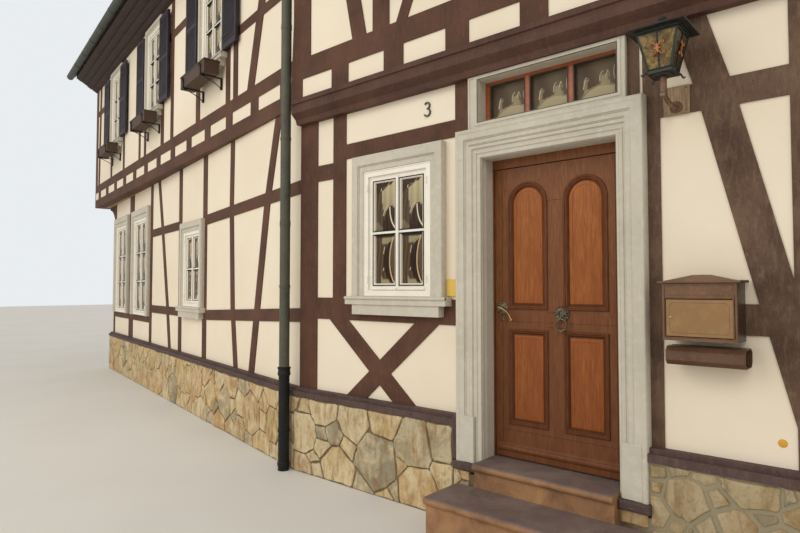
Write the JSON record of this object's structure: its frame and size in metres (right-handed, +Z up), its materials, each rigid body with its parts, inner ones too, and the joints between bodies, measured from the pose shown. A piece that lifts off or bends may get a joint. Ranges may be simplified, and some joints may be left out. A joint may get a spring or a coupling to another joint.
{
  "type": "half timbered house",
  "caption": "Half timbered house with an angled street front, rubble plinth, jettied upper storey, slate roof, panelled door, lantern and letter box",
  "frame": {"origin": "foot of the kink in the street front, on the ground, under the plinth", "axes": "+X along the right part of the street front, +Y into the house, +Z up"},
  "size_m": [16.1697, 9.2655, 10.8252],
  "materials": {
    "rubble_stone": "rough ochre and reddish field stones in wide lime mortar",
    "oak_timber": "dark maroon-brown painted oak, weathered",
    "lime_plaster": "cream lime plaster, lightly trowelled",
    "floor_boards": "plain boards, matt",
    "roof_slate": "dark grey natural slate, matt",
    "sheet_metal": "olive-brown painted sheet zinc",
    "eaves_wood": "brown stained boards",
    "cast_iron": "black painted cast iron",
    "dressed_stone": "grey-beige dressed stone, smooth",
    "base_stone": "dark purple-grey stone, worn",
    "step_stone": "red-brown sandstone, worn",
    "white_paint": "white gloss painted wood",
    "window_glass": "clear bull's-eye glass",
    "louvre_paint": "dark purple-black painted wood",
    "box_plastic": "brown plastic",
    "black_iron": "black forged iron",
    "door_wood": "red-brown varnished oak",
    "panel_wood": "lighter orange-brown varnished oak",
    "brass": "tarnished brass",
    "lantern_paint": "dark green-black paint, satin",
    "amber_glass": "amber glass",
    "bronze_paint": "bronze-brown hammered paint"
  },
  "bodies": {
    "house": {"attic_floor": "floor_boards", "door_frame": "door_wood", "door_jambs": "dressed_stone", "door_lintel": "dressed_stone", "downpipe": "sheet_metal", "eaves_boards": "eaves_wood", "entrance_step": "step_stone", "flower_box_irons": "black_iron", "flower_boxes": "box_plastic", "frame_gable": "oak_timber", "frame_ground_back": "oak_timber", "frame_ground_left": "oak_timber", "frame_right_bay": "oak_timber", "frame_upper_back": "oak_timber", "frame_upper_left": "oak_timber", "frame_upper_right": "oak_timber", "frame_window_bay": "oak_timber", "gable_brackets": "oak_timber", "ground_floor": "floor_boards", "gutter_hooks": "sheet_metal", "gutters": "sheet_metal", "infill_ground": "lime_plaster", "infill_upper": "lime_plaster", "jamb_bases": "base_stone", "lantern_bracket": "lantern_paint", "lantern_frame": "lantern_paint", "lantern_glass": "amber_glass", "mailbox_body": "bronze_paint", "moulded_beam": "oak_timber", "newspaper_tube": "bronze_paint", "party_wall": "lime_plaster", "plinth_back": "rubble_stone", "plinth_front": "rubble_stone", "ridge_caps": "sheet_metal", "roof_back": "roof_slate", "roof_front": "roof_slate", "shutters": "louvre_paint", "sole_plates": "oak_timber", "standpipe": "cast_iron", "threshold": "step_stone", "transom_frame": "white_paint", "transom_surround": "dressed_stone", "upper_floor": "floor_boards", "window_frames": "white_paint", "window_glass": "window_glass", "window_surrounds": "dressed_stone"},
    "door": {"door_leaf": "door_wood", "door_panels": "panel_wood", "door_fittings": "brass"},
    "handle": {"door_handle": "brass"},
    "knocker": {"knocker_ring": "black_iron"},
    "letter_door": {"mailbox_door": "bronze_paint"},
    "letter_lid": {"mailbox_lid": "bronze_paint"}
  },
  "joints": [
    {"name": "front_door", "type": "hinge", "parent": "house", "child": "door", "pos_m": [3.138, 0.204, 1.56], "axis": [0, 0, -1], "range_deg": [0, 95]},
    {"name": "lever", "type": "hinge", "parent": "door", "child": "handle", "pos_m": [2.205, 0.104, 1.6], "axis": [0, 1, 0], "range_deg": [0, 35], "stiffness_Nm_per_rad": 1.2, "springref_deg": -28.65},
    {"name": "knocker_swing", "type": "hinge", "parent": "door", "child": "knocker", "pos_m": [2.69, 0.103, 1.554], "axis": [-1, 0, 0], "range_deg": [0, 60]},
    {"name": "letter_door_hinge", "type": "hinge", "parent": "house", "child": "letter_door", "pos_m": [3.823, -0.20433, 1.5825], "axis": [0, 0, 1], "range_deg": [0, 100]},
    {"name": "letter_lid_hinge", "type": "hinge", "parent": "house", "child": "letter_lid", "pos_m": [3.65, -0.008, 1.79], "axis": [-1, 0, 0], "range_deg": [0, 65]}
  ]
}
